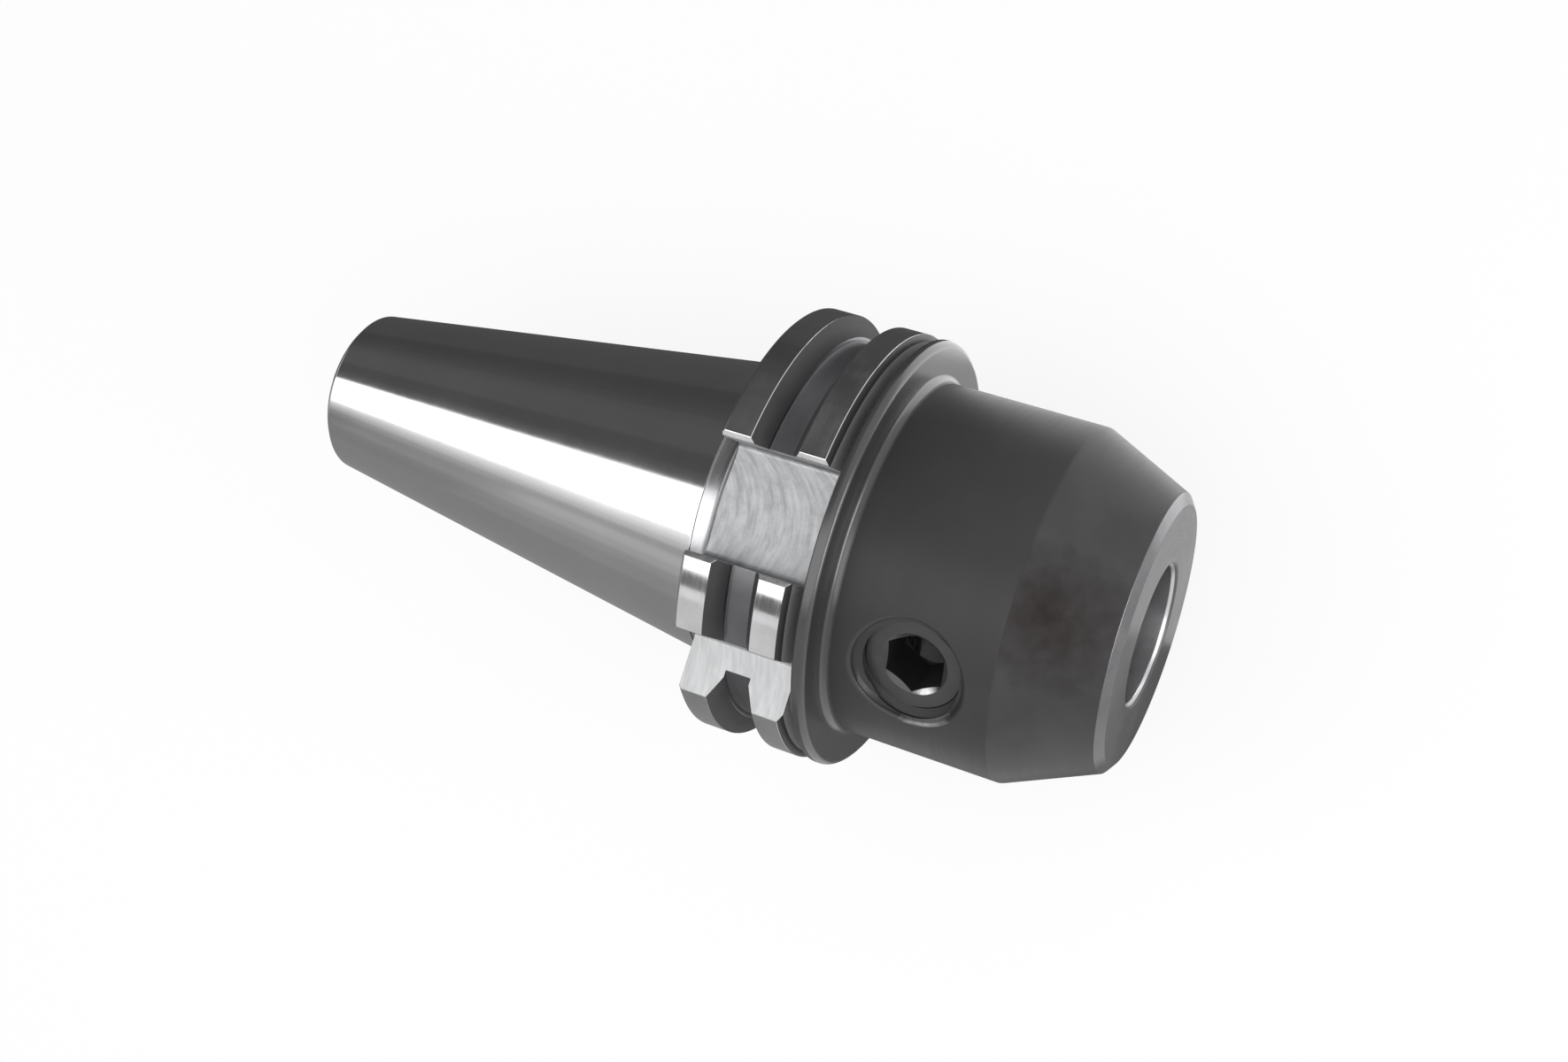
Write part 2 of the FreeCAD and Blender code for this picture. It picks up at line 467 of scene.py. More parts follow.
@dataclass
class HolderBody:
    """The turned and milled holder, as one piece."""

    place: ClampPlace
    materials: list[bpy.types.Material]
    gauge_radius: float = 22.225
    rise: float = 7.0 / 48.0
    taper_length: float = 68.4
    tail_chamfer: float = 0.9
    neck_radius: float = 22.0
    neck_fillet: float = 1.6
    recess_radius: float = 8.5
    recess_depth: float = 8.2
    mouth_chamfer: float = 0.8
    stud_tap_radius: float = 7.0
    stud_major_radius: float = 8.0
    stud_hole_depth: float = 40.0
    stud_pitch: float = 2.0
    stud_thread_depth: float = 32.0
    coolant_radius: float = 4.0
    flange_radius: float = 31.775
    flange_start: float = 3.2
    flange_end: float = 19.1
    flange_rear_chamfer: float = 0.4
    flange_front_chamfer: float = 1.0
    flange_front_chamfer_length: float = 0.6
    groove_centre: float = 11.1
    groove_floor_width: float = 3.75
    groove_flank_radius: float = 28.9
    groove_floor_radius: float = 28.125
    groove_flank_angle: float = math.radians(30.0)
    slot_half_width: float = 8.05
    upper_slot_floor: float = 22.8
    lower_slot_floor: float = 25.0
    slot_corner_radius: float = 0.8
    slot_edge_chamfer: float = 0.7
    notch_floor: float = 17.0
    notch_wall: float = 18.5
    notch_corner_radius: float = 0.8
    runout_width: float = 1.8
    runout_radius: float = 22.6
    runout_corner_radius: float = 0.5
    collar_radius: float = 31.7
    collar_width: float = 1.9
    collar_rear_chamfer: float = 0.25
    collar_front_radius: float = 1.0
    collar_root_radius: float = 1.1
    body_radius: float = 26.0
    projection: float = 61.0
    nose_cone_length: float = 13.8
    nose_radius: float = 20.3
    nose_bevel_length: float = 1.0
    nose_bevel_width: float = 1.5
    shoulder_radius: float = 1.5
    tool_radius: float = 10.0
    tool_bore_depth: float = 52.0
    tool_mouth_chamfer: float = 0.7
    drill_point: float = math.radians(59.0)
    screw_hole_radius: float = 8.05
    screw_minor_radius: float = 6.95
    screw_pitch: float = 2.0
    mouth_round: float = 0.6
    segments: int = 360
    over: float = 5.0
    edges: EdgeBreak = field(default_factory=EdgeBreak)

    def outside(self) -> list[Corner]:
        """Returns the outline's outer corners, from the small end to the nose."""
        tail = -self.taper_length
        end_radius = self.gauge_radius - self.taper_length * self.rise
        at_chamfer = end_radius + self.tail_chamfer * self.rise
        flank = (self.flange_radius - self.groove_flank_radius) * math.tan(self.groove_flank_angle)
        rear = self.groove_centre - self.groove_floor_width / 2
        front = self.groove_centre + self.groove_floor_width / 2
        collar_start = self.flange_end + self.runout_width
        collar_end = collar_start + self.collar_width
        return [
            Corner(tail, end_radius - self.tail_chamfer, Zone.TAPER, 0.0),
            Corner(tail + self.tail_chamfer, at_chamfer, Zone.TAPER, 0.5),
            Corner(0, self.gauge_radius, Zone.STEP),
            Corner(0, self.neck_radius, Zone.NECK),
            Corner(self.flange_start, self.neck_radius, Zone.NECK, self.neck_fillet),
            Corner(self.flange_start, self.flange_radius - self.flange_rear_chamfer, Zone.LAND),
            Corner(self.flange_start + self.flange_rear_chamfer, self.flange_radius, Zone.LAND),
            Corner(rear - flank, self.flange_radius, Zone.FLANK),
            Corner(rear, self.groove_flank_radius, Zone.GROOVE),
            Corner(rear, self.groove_floor_radius, Zone.GROOVE),
            Corner(front, self.groove_floor_radius, Zone.GROOVE),
            Corner(front, self.groove_flank_radius, Zone.FLANK),
            Corner(front + flank, self.flange_radius, Zone.LAND),
            Corner(self.flange_end - self.flange_front_chamfer_length, self.flange_radius, Zone.OXIDE),
            Corner(self.flange_end, self.flange_radius - self.flange_front_chamfer, Zone.RUNOUT),
            Corner(self.flange_end, self.runout_radius, Zone.RUNOUT, self.runout_corner_radius),
            Corner(collar_start, self.runout_radius, Zone.RUNOUT, self.runout_corner_radius),
            Corner(collar_start, self.collar_radius - self.collar_rear_chamfer, Zone.COLLAR),
            Corner(collar_start + self.collar_rear_chamfer, self.collar_radius, Zone.COLLAR),
            Corner(collar_end, self.collar_radius, Zone.COLLAR, self.collar_front_radius),
            Corner(collar_end, self.body_radius, Zone.COLLAR, self.collar_root_radius),
            Corner(collar_end + self.collar_root_radius + 0.2, self.body_radius, Zone.OXIDE),
            Corner(self.projection - self.nose_cone_length, self.body_radius, Zone.CONE,
                   self.shoulder_radius),
            Corner(self.projection - self.nose_bevel_length, self.nose_radius, Zone.BEVEL),
            Corner(self.projection, self.nose_radius - self.nose_bevel_width, Zone.NOSE),
        ]

    def inside(self) -> list[Corner]:
        """Returns the outline's inner corners, from the nose back to the small end."""
        tail = -self.taper_length
        floor = self.projection - self.tool_bore_depth
        point = (self.tool_radius - self.coolant_radius) / math.tan(self.drill_point)
        hole_end = tail + self.stud_hole_depth
        hole_point = (self.stud_tap_radius - self.coolant_radius) / math.tan(self.drill_point)
        recess_end = tail + self.recess_depth
        half_chamfer = self.tool_mouth_chamfer / 2
        return [
            Corner(self.projection, self.tool_radius + self.tool_mouth_chamfer, Zone.NOSE),
            Corner(self.projection - half_chamfer, self.tool_radius + half_chamfer, Zone.BORE),
            Corner(self.projection - self.tool_mouth_chamfer, self.tool_radius, Zone.BORE),
            Corner(floor, self.tool_radius, Zone.DRILLED),
            Corner(floor - point, self.coolant_radius, Zone.DRILLED),
            Corner(hole_end + hole_point, self.coolant_radius, Zone.DRILLED),
            Corner(hole_end, self.stud_tap_radius, Zone.DRILLED),
            Corner(recess_end, self.stud_tap_radius, Zone.DRILLED),
            Corner(recess_end, self.recess_radius, Zone.DRILLED),
            Corner(tail + self.mouth_chamfer, self.recess_radius, Zone.DRILLED),
            Corner(tail, self.recess_radius + self.mouth_chamfer, Zone.TAPER),
        ]

    def section_of(self, corners: list[tuple[float, float, float]]) -> list[Vector]:
        """Rounds a cutter's section, given as (y, z, radius) corners."""
        loop = [Corner(y, z, Zone.SLOT, radius) for y, z, radius in corners]
        return rounded_outline(loop, ARC_STEP)[0]

    def drive_slot(self, name: str, floor: float, lower: bool) -> bpy.types.Object:
        """Makes the cutter of one drive slot, with its two broken edges.

        Args:
            name: The cutter's name.
            floor: How far the slot's floor is from the axis.
            lower: True for the slot that faces down.

        Returns:
            The cutter.
        """
        half = self.slot_half_width
        rim = math.sqrt(self.flange_radius ** 2 - (half + self.slot_edge_chamfer) ** 2)
        start = rim - self.slot_edge_chamfer
        top = self.flange_radius + self.over
        spread = top - start
        section = self.section_of([
            (-half, floor, self.slot_corner_radius),
            (half, floor, self.slot_corner_radius),
            (half, start, 0.0),
            (half + spread, top, 0.0),
            (-half - spread, top, 0.0),
            (-half, start, 0.0),
        ])
        if lower:
            section = [Vector((-point.x, -point.y)) for point in section]
        rear = self.flange_start - self.neck_fillet - self.over
        return prism(name, section, rear, self.flange_end + self.runout_width / 2, Zone.SLOT, Zone.SLOT_EDGE)

    def corner_notch(self) -> bpy.types.Object:
        """Makes the cutter of the notch beside the upper slot."""
        outside = self.flange_radius + self.over
        section = self.section_of([
            (-outside, self.notch_floor, 0.0),
            (-self.notch_wall, self.notch_floor, self.notch_corner_radius),
            (-self.notch_wall, outside, 0.0),
            (-outside, outside, 0.0),
        ])
        rear = self.flange_start - self.neck_fillet - self.over
        return prism("corner_notch", section, rear, self.flange_end + self.runout_width / 2, Zone.NOTCH)

    def screw_thread(self) -> bpy.types.Object:
        """Makes the threaded cutter of the clamping screw's hole."""
        form = ThreadForm(self.screw_hole_radius, self.screw_minor_radius, self.screw_pitch, 4.0,
                          self.body_radius + self.over, 0.17, 0.21)
        rod = form.rod("screw_thread", Zone.THREAD)
        rod.data.transform(self.place.matrix())
        return rod

    def screw_mouth(self) -> bpy.types.Object:
        """Makes the cutter that rounds the screw hole's mouth, evenly along its curved edge."""
        steps = 8
        around = 180
        places = [Vector((0, 0, self.body_radius - 3.0)), Vector((0, 0, self.body_radius + self.over))]
        rings = [(-0.4, -0.6 - self.mouth_round)]
        for step in range(steps + 1):
            angle = math.pi / 2 * step / steps
            rings.append((self.mouth_round * (1 - math.cos(angle)), self.mouth_round * (math.sin(angle) - 1)))
        rings.append((self.mouth_round + 0.6, 0.6))
        rings.append((self.mouth_round + 0.6, self.over))
        faces = []
        for index, (outward, rise) in enumerate(rings):
            for step in range(around):
                angle = 2 * math.pi * step / around
                radius = self.screw_hole_radius + outward
                side = (self.screw_hole_radius + self.mouth_round) * math.sin(angle)
                level = math.sqrt(self.body_radius ** 2 - side ** 2) + rise
                places.append(Vector((radius * math.cos(angle), radius * math.sin(angle), level)))
                after = (step + 1) % around
                low = 2 + (index - 1) * around
                high = low + around
                if index > 0:
                    faces.append([low + step, low + after, high + after, high + step])
        last = 2 + (len(rings) - 1) * around
        for step in range(around):
            after = (step + 1) % around
            faces.append([0, 2 + after, 2 + step])
            faces.append([1, last + step, last + after])
        mouth = mesh_from("screw_mouth", places, faces, [Zone.MOUTH.value] * len(faces))
        mouth.data.transform(self.place.matrix())
        return mouth

    def stud_thread(self) -> bpy.types.Object:
        """Makes the threaded cutter of the pull stud's hole."""
        length = self.stud_thread_depth - self.recess_depth
        form = ThreadForm(self.stud_major_radius, self.stud_tap_radius - 0.01, self.stud_pitch, 0.0,
                          length + 2 * self.stud_pitch, 0.17, 0.21)
        rod = form.rod("stud_thread", Zone.THREAD)
        start = -self.taper_length + self.recess_depth - self.stud_pitch
        rod.data.transform(Matrix.Translation((start * MM, 0, 0)) @ Matrix.Rotation(math.pi / 2, 4, "Y"))
        return rod

    def build(self) -> bpy.types.Object:
        """Builds and dresses the holder.

        Returns:
            The holder's piece.
        """
        points, zones = rounded_outline(self.outside() + self.inside(), ARC_STEP)
        holder = turned_ring("holder", points, zones, self.segments)
        cutters = [
            self.drive_slot("upper_slot", self.upper_slot_floor, False),
            self.drive_slot("lower_slot", self.lower_slot_floor, True),
            self.corner_notch(),
            self.screw_thread(),
            self.screw_mouth(),
            self.stud_thread(),
        ]
        combine(holder, cutters, "DIFFERENCE")
        self.edges.apply(holder, THREAD_ZONES)
        flat = {zone.value for zone in CUT_ZONES + THREAD_ZONES}
        turned = {zone.value for zone in Zone} - flat
        smooth_normals(holder, turned, self.edges.sharp_angle)
        for material in self.materials:
            holder.data.materials.append(material)
        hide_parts("holder_body")
        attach(holder, "holder")
        return holder


def cone_solid(name: str, levels: Profile, segments: int, zone: Enum) -> bpy.types.Object:
    """Turns an open outline from axis to axis about +Z.

    Args:
        name: The object's name.
        levels: The outline as (z, radius), which starts and ends on the axis.
        segments: How many steps there are in one turn.
        zone: The finish of its faces.

    Returns:
        The closed solid.
    """
    places = [Vector((0, 0, levels[0][0])), Vector((0, 0, levels[-1][0]))]
    rings = levels[1:-1]
    for height, radius in rings:
        for step in range(segments):
            angle = 2 * math.pi * step / segments
            places.append(Vector((radius * math.cos(angle), radius * math.sin(angle), height)))
    faces = []
    last = 2 + (len(rings) - 1) * segments
    for step in range(segments):
        after = (step + 1) % segments
        faces.append([0, 2 + after, 2 + step])
        faces.append([1, last + step, last + after])
        for ring in range(len(rings) - 1):
            low = 2 + ring * segments
            high = low + segments
            faces.append([low + step, low + after, high + after, high + step])
    return mesh_from(name, places, faces, [zone.value] * len(faces))


@dataclass
class ClampingScrew:
    """The hexagon socket screw that holds the tool's shank."""

    place: ClampPlace
    materials: list[bpy.types.Material]
    crest_radius: float = 7.98
    root_radius: float = 6.8
    pitch: float = 2.0
    top: float = 22.8
    tip: float = 10.2
    head_chamfer: float = 1.0
    tip_chamfer: float = 2.0
    socket_flats: float = 8.0
    socket_depth: float = 7.0
    socket_mouth_radius: float = 4.8
    socket_mouth_angle: float = math.radians(60.0)
    socket_point: float = math.radians(60.0)
    blank_radius: float = 9.0
    segments: int = 150
    edges: EdgeBreak = field(default_factory=lambda: EdgeBreak(width=0.04, merge=0.01))

    def blank(self) -> bpy.types.Object:
        """Makes the plain form that trims the threaded rod to length, with its chamfered ends."""
        grow = self.blank_radius - self.crest_radius
        return cone_solid("screw_blank", [
            (self.tip, 0.0),
            (self.tip, self.crest_radius - self.tip_chamfer),
            (self.tip + self.tip_chamfer + grow, self.blank_radius),
            (self.top - self.head_chamfer - grow, self.blank_radius),
            (self.top, self.crest_radius - self.head_chamfer),
            (self.top, 0.0),
        ], self.segments, ScrewZone.OUTSIDE)

    def socket(self) -> bpy.types.Object:
        """Makes the cutter of the key socket, with its drilled floor."""
        corner = self.socket_flats / 2 / math.cos(math.radians(30.0))
        floor = self.top - self.socket_depth
        places = []
        for level in (floor, self.top + 1.0):
            for side in range(6):
                angle = math.radians(60.0 * side + 30.0)
                places.append(Vector((corner * math.cos(angle), corner * math.sin(angle), level)))
        faces = [list(range(6)), list(range(6, 12))]
        faces += [[side, (side + 1) % 6, 6 + (side + 1) % 6, 6 + side] for side in range(6)]
        hexagon = mesh_from("socket_hexagon", places, faces, [ScrewZone.SOCKET.value] * len(faces))
        drill = self.socket_flats / 2 - 0.02
        point = cone_solid("socket_point", [
            (floor - drill / math.tan(self.socket_point), 0.0),
            (floor, drill),
            (floor + 1.0, drill),
            (floor + 1.0, 0.0),
        ], 96, ScrewZone.SOCKET)
        return combine(hexagon, [point], "UNION")

    def socket_mouth(self) -> bpy.types.Object:
        """Makes the cutter of the wide cone that leads the key in."""
        slope = math.tan(self.socket_mouth_angle)
        return cone_solid("socket_mouth", [
            (self.top - self.socket_mouth_radius / slope, 0.0),
            (self.top, self.socket_mouth_radius),
            (self.top + 1.0, self.socket_mouth_radius + slope),
            (self.top + 1.0, 0.0),
        ], 144, ScrewZone.SOCKET_MOUTH)

    def build(self) -> bpy.types.Object:
        """Builds and dresses the screw.

        Returns:
            The screw's piece.
        """
        form = ThreadForm(self.crest_radius, self.root_radius, self.pitch, self.tip - 3 * self.pitch,
                          self.top + 3 * self.pitch, 0.125, 0.25)
        screw = form.rod("screw", ScrewZone.OUTSIDE)
        combine(screw, [self.blank()], "INTERSECT")
        combine(screw, [self.socket_mouth()], "DIFFERENCE")
        combine(screw, [self.socket()], "DIFFERENCE")
        self.edges.apply(screw, (ScrewZone.OUTSIDE,))
        smooth_normals(screw, set(), math.radians(30.0))
        screw.data.transform(self.place.matrix())
        for material in self.materials:
            screw.data.materials.append(material)
        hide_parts("clamping_screw")
        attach(screw, "screw")
        return screw


class Nodes:
    """A short way to place and join shader nodes in one tree."""

    def __init__(self, tree: bpy.types.NodeTree) -> None:
        """Takes the tree that the nodes go into."""
        self.tree = tree

    def add(self, kind: str, inputs: dict[str | int, object] | None = None,
            **settings: object) -> bpy.types.Node:
        """Places a node.

        Args:
            kind: The node's type name.
            inputs: Values or sockets for its inputs, by name or number.
            **settings: Values for the node's own properties.

        Returns:
            The node.
        """
        node = self.tree.nodes.new(kind)
        for name, value in settings.items():
            setattr(node, name, value)
        for key, value in (inputs or {}).items():
            if isinstance(value, bpy.types.NodeSocket):
                self.tree.links.new(value, node.inputs[key])
            else:
                node.inputs[key].default_value = value
        return node

    def math(self, operation: str, first: object, second: object = 0.0) -> bpy.types.NodeSocket:
        """Joins two numbers or sockets by a sum and returns the result's socket."""
        return self.add("ShaderNodeMath", {0: first, 1: second}, operation=operation).outputs[0]


class GroupBuilder:
    """Starts a shader node group with named sockets."""

    def __init__(self, name: str, inputs: dict[str, float], outputs: dict[str, str]) -> None:
        """Makes the group.

        Args:
            name: The group's name.
            inputs: Each number input with its default.
            outputs: Each output with its socket type.
        """
        self.tree = bpy.data.node_groups.new(name, "ShaderNodeTree")
        for label, value in inputs.items():
            socket = self.tree.interface.new_socket(label, in_out="INPUT", socket_type="NodeSocketFloat")
            socket.default_value = value
        for label, kind in outputs.items():
            self.tree.interface.new_socket(label, in_out="OUTPUT", socket_type=kind)
        self.nodes = Nodes(self.tree)
        self.source = self.nodes.add("NodeGroupInput")
        self.target = self.nodes.add("NodeGroupOutput")

    def give(self, label: str, socket: bpy.types.NodeSocket) -> None:
        """Joins a socket to one of the group's outputs."""
        self.tree.links.new(socket, self.target.inputs[label])


def turning_marks_group() -> bpy.types.NodeTree:
    """Builds the fine rings that a lathe or a grinder leaves about X.

    Returns:
        A group that puts out a height and a slow mask, both from 0 to 1.
    """
    group = GroupBuilder("turning_marks", {"Rings Per Metre": 4000.0, "Around": 3.0, "Slow Per Metre": 60.0},
                         {"Height": "NodeSocketFloat", "Mask": "NodeSocketFloat"})
    nodes = group.nodes
    place = nodes.add("ShaderNodeTexCoord").outputs["Object"]
    parts = nodes.add("ShaderNodeSeparateXYZ", {0: place}).outputs
    squares = nodes.math("ADD", nodes.math("MULTIPLY", parts["Y"], parts["Y"]),
                         nodes.math("MULTIPLY", parts["Z"], parts["Z"]))
    radius = nodes.math("MAXIMUM", nodes.math("SQRT", squares), 0.0001)
    around_y = nodes.math("MULTIPLY", nodes.math("DIVIDE", parts["Y"], radius),
                          group.source.outputs["Around"])
    around_z = nodes.math("MULTIPLY", nodes.math("DIVIDE", parts["Z"], radius),
                          group.source.outputs["Around"])
    rings = group.source.outputs["Rings Per Metre"]
    along = nodes.math("MULTIPLY", parts["X"], rings)
    across = nodes.math("MULTIPLY", radius, rings)
    place_4d = nodes.add("ShaderNodeCombineXYZ", {0: along, 1: across, 2: around_y}).outputs[0]
    fine = nodes.add("ShaderNodeTexNoise", {"Vector": place_4d, "W": around_z, "Scale": 1.0, "Detail": 2.0,
                                            "Roughness": 0.6}, noise_dimensions="4D")
    group.give("Height", fine.outputs["Fac"])
    slow = nodes.add("ShaderNodeTexNoise", {"Vector": place, "Scale": group.source.outputs["Slow Per Metre"],
                                            "Detail": 4.0, "Roughness": 0.55})
    group.give("Mask", slow.outputs["Fac"])
    return group.tree


def milling_arcs_group() -> bpy.types.NodeTree:
    """Builds the arcs that a milling cutter leaves along X.

    Returns:
        A group that puts out the arcs' height and an uneven mask, both from 0 to 1.
    """
    group = GroupBuilder("milling_arcs", {"Arcs Per Metre": 1500.0, "Cutter Radius": 0.0105, "Centre": 0.0,
                                          "Grain Per Metre": 900.0},
                         {"Height": "NodeSocketFloat", "Mask": "NodeSocketFloat"})
    nodes = group.nodes
    place = nodes.add("ShaderNodeTexCoord").outputs["Object"]
    parts = nodes.add("ShaderNodeSeparateXYZ", {0: place}).outputs
    offset = nodes.math("SUBTRACT", parts["Y"], group.source.outputs["Centre"])
    reach = group.source.outputs["Cutter Radius"]
    gap = nodes.math("SUBTRACT", nodes.math("MULTIPLY", reach, reach), nodes.math("MULTIPLY", offset, offset))
    sweep = nodes.math("SQRT", nodes.math("MAXIMUM", gap, 0.0))
    front = nodes.math("SUBTRACT", parts["X"], sweep)
    count = nodes.math("MULTIPLY", front, group.source.outputs["Arcs Per Metre"])
    slow = nodes.math("MULTIPLY", parts["Y"], 200.0)
    line = nodes.add("ShaderNodeCombineXYZ", {0: count, 1: slow, 2: nodes.math("MULTIPLY", parts["Z"], 40.0)})
    arcs = nodes.add("ShaderNodeTexNoise", {"Vector": line.outputs[0], "Scale": 1.0, "Detail": 2.5,
                                            "Roughness": 0.65})
    group.give("Height", arcs.outputs["Fac"])
    grain = nodes.add("ShaderNodeTexNoise",
                      {"Vector": place, "Scale": group.source.outputs["Grain Per Metre"],
                                             "Detail": 3.0, "Roughness": 0.6})
    group.give("Mask", grain.outputs["Fac"])
    return group.tree


def edge_wear_group() -> bpy.types.NodeTree:
    """Builds a mask of the edges that handling has worn.

    Returns:
        A group that puts out the mask, from 0 on faces to 1 on edges.
    """
    group = GroupBuilder("edge_wear", {"Width": 0.0004, "Breakup Per Metre": 350.0, "Amount": 1.0},
                         {"Mask": "NodeSocketFloat"})
    nodes = group.nodes
    soft = nodes.add("ShaderNodeBevel", {"Radius": group.source.outputs["Width"]}, samples=6)
    true = nodes.add("ShaderNodeNewGeometry").outputs["Normal"]
    match = nodes.add("ShaderNodeVectorMath", {0: soft.outputs[0], 1: true}, operation="DOT_PRODUCT")
    turn = nodes.math("SUBTRACT", 1.0, match.outputs["Value"])
    edge = nodes.add("ShaderNodeMapRange", {"Value": turn, "From Min": 0.01, "From Max": 0.12})
    place = nodes.add("ShaderNodeTexCoord").outputs["Object"]
    noise = nodes.add("ShaderNodeTexNoise",
                      {"Vector": place, "Scale": group.source.outputs["Breakup Per Metre"],
                                             "Detail": 3.0})
    broken = nodes.add("ShaderNodeMapRange", {"Value": noise.outputs["Fac"], "From Min": 0.35,
                                              "From Max": 0.65})
    mask = nodes.math("MULTIPLY", edge.outputs[0], broken.outputs[0])
    group.give("Mask", nodes.math("MULTIPLY", mask, group.source.outputs["Amount"]))
    return group.tree


def stain_and_glint_patch_group() -> bpy.types.NodeTree:
    """Builds a soft, uneven patch around one place: a darker stain, or a lighter metallic spot as a painted
    glint.

    Returns:
        A group that puts out a mask, from 0 outside the patch to 1 inside it.
    """
    group = GroupBuilder("stain_and_glint_patch", {"X": 0.0, "Y": 0.0, "Z": 0.0, "Reach": 0.001, "Amount": 0.0,
                                          "Stretch": 1.0, "Grain Per Metre": 1500.0},
                         {"Mask": "NodeSocketFloat"})
    nodes = group.nodes
    inputs = group.source.outputs
    place = nodes.add("ShaderNodeTexCoord").outputs["Object"]
    centre = nodes.add("ShaderNodeCombineXYZ", {0: inputs["X"], 1: inputs["Y"], 2: inputs["Z"]}).outputs[0]
    offset = nodes.add("ShaderNodeVectorMath", {0: place, 1: centre}, operation="SUBTRACT").outputs[0]
    along = nodes.math("DIVIDE", 1.0, inputs["Stretch"])
    shares = nodes.add("ShaderNodeCombineXYZ", {0: along, 1: 1.0, 2: 1.0}).outputs[0]
    squeezed = nodes.add("ShaderNodeVectorMath", {0: offset, 1: shares}, operation="MULTIPLY").outputs[0]
    gap = nodes.add("ShaderNodeVectorMath", {0: squeezed}, operation="LENGTH").outputs["Value"]
    share = nodes.math("DIVIDE", gap, inputs["Reach"])
    noise = nodes.add("ShaderNodeTexNoise", {"Vector": place, "Scale": inputs["Grain Per Metre"],
                                             "Detail": 3.0}).outputs["Fac"]
    ragged = nodes.math("ADD", share, nodes.math("MULTIPLY", nodes.math("SUBTRACT", noise, 0.5), 0.8))
    mask = nodes.add("ShaderNodeMapRange", {"Value": ragged, "From Min": 0.0, "From Max": 1.15, "To Min": 1.0,
                                            "To Max": 0.0})
    group.give("Mask", nodes.math("MULTIPLY", mask.outputs[0], inputs["Amount"]))
    return group.tree


@dataclass
class Effects:
    """The shader node groups that the finishes share."""

    turning: bpy.types.NodeTree = field(default_factory=turning_marks_group)
    milling: bpy.types.NodeTree = field(default_factory=milling_arcs_group)
    wear: bpy.types.NodeTree = field(default_factory=edge_wear_group)
    patch: bpy.types.NodeTree = field(default_factory=stain_and_glint_patch_group)


Colour = tuple[float, float, float]


def grey(value: float) -> Colour:
    """Returns a neutral colour."""
    return (value, value, value)


@dataclass(frozen=True)
class StainAndGlintPatch:
    """A place, in metres, where the finish is darker as a stain, or lighter and metallic as a painted glint.
    """

    place: tuple[float, float, float]
    reach: float
    amount: float = 1.0
    colour: Colour = (0.6, 0.6, 0.6)
    bare: bool = True
    stretch: float = 1.0
    grain: float = 1500.0


@dataclass(frozen=True)
class TurnedSteel:
    """Steel that was turned or ground about the spindle axis, bare or blackened."""

    name: str
    colour: Colour
    dark_colour: Colour
    worn_colour: Colour
    roughness: float
    rings: float
    ring_height: float
    metallic: float = 1.0
    roughness_spread: float = 0.05
    around: float = 3.0
    slow: float = 60.0
    wear: float = 0.5
    wear_width: float = 0.0003
    specular: float = 0.5
    patch: StainAndGlintPatch | None = None

    def make(self, effects: Effects) -> bpy.types.Material:
        """Builds the material.

        Args:
            effects: The shared node groups.

        Returns:
            The material.
        """
        material = bpy.data.materials.new(self.name)
        material.use_nodes = True
        tree = material.node_tree
        tree.nodes.clear()
        nodes = Nodes(tree)
        marks = nodes.add("ShaderNodeGroup", node_tree=effects.turning)
        marks.inputs["Rings Per Metre"].default_value = self.rings
        marks.inputs["Around"].default_value = self.around
        marks.inputs["Slow Per Metre"].default_value = self.slow
        wear = nodes.add("ShaderNodeGroup", node_tree=effects.wear)
        wear.inputs["Width"].default_value = self.wear_width
        wear.inputs["Amount"].default_value = self.wear
        tone = nodes.add("ShaderNodeMapRange", {"Value": marks.outputs["Mask"], "From Min": 0.35,
                                                "From Max": 0.65})
        base = nodes.add("ShaderNodeMix", {"Factor": tone.outputs[0], 6: (*self.dark_colour, 1.0),
                                           7: (*self.colour, 1.0)}, data_type="RGBA")
        worn = nodes.add("ShaderNodeMix", {"Factor": wear.outputs["Mask"], 6: base.outputs[2],
                                           7: (*self.worn_colour, 1.0)}, data_type="RGBA")
        colour = worn.outputs[2]
        metallic = self.metallic
        # The patch darkens the colour for a stain, and lightens it and raises the metallic value for a
        # painted glint.
        if self.patch is not None:
            spot_node = nodes.add("ShaderNodeGroup", node_tree=effects.patch)
            for axis, value in zip("XYZ", self.patch.place):
                spot_node.inputs[axis].default_value = value
            spot_node.inputs["Reach"].default_value = self.patch.reach
            spot_node.inputs["Amount"].default_value = self.patch.amount
            spot_node.inputs["Stretch"].default_value = self.patch.stretch
            spot_node.inputs["Grain Per Metre"].default_value = self.patch.grain
            mask = spot_node.outputs["Mask"]
            bare = nodes.add("ShaderNodeMix", {"Factor": mask, 6: colour, 7: (*self.patch.colour, 1.0)},
                             data_type="RGBA")
            colour = bare.outputs[2]
            if self.patch.bare:
                metallic = nodes.math("MAXIMUM", mask, self.metallic)
        low = self.roughness - self.roughness_spread
        high = self.roughness + self.roughness_spread
        both = nodes.add("ShaderNodeMix", {0: 0.5, 2: marks.outputs["Height"], 3: marks.outputs["Mask"]},
                         data_type="FLOAT")
        rough = nodes.add("ShaderNodeMapRange", {"Value": both.outputs[0], "From Min": 0.35, "From Max": 0.65,
                                                 "To Min": low, "To Max": high})
        bump = nodes.add("ShaderNodeBump", {"Strength": 1.0, "Distance": self.ring_height,
                                            "Height": marks.outputs["Height"]})
        shader = nodes.add("ShaderNodeBsdfPrincipled", {"Base Color": colour, "Metallic": metallic,
                                                        "Roughness": rough.outputs[0],
                                                        "Normal": bump.outputs[0],
                                                        "Specular IOR Level": self.specular})
        nodes.add("ShaderNodeOutputMaterial", {"Surface": shader.outputs[0]})
        return material


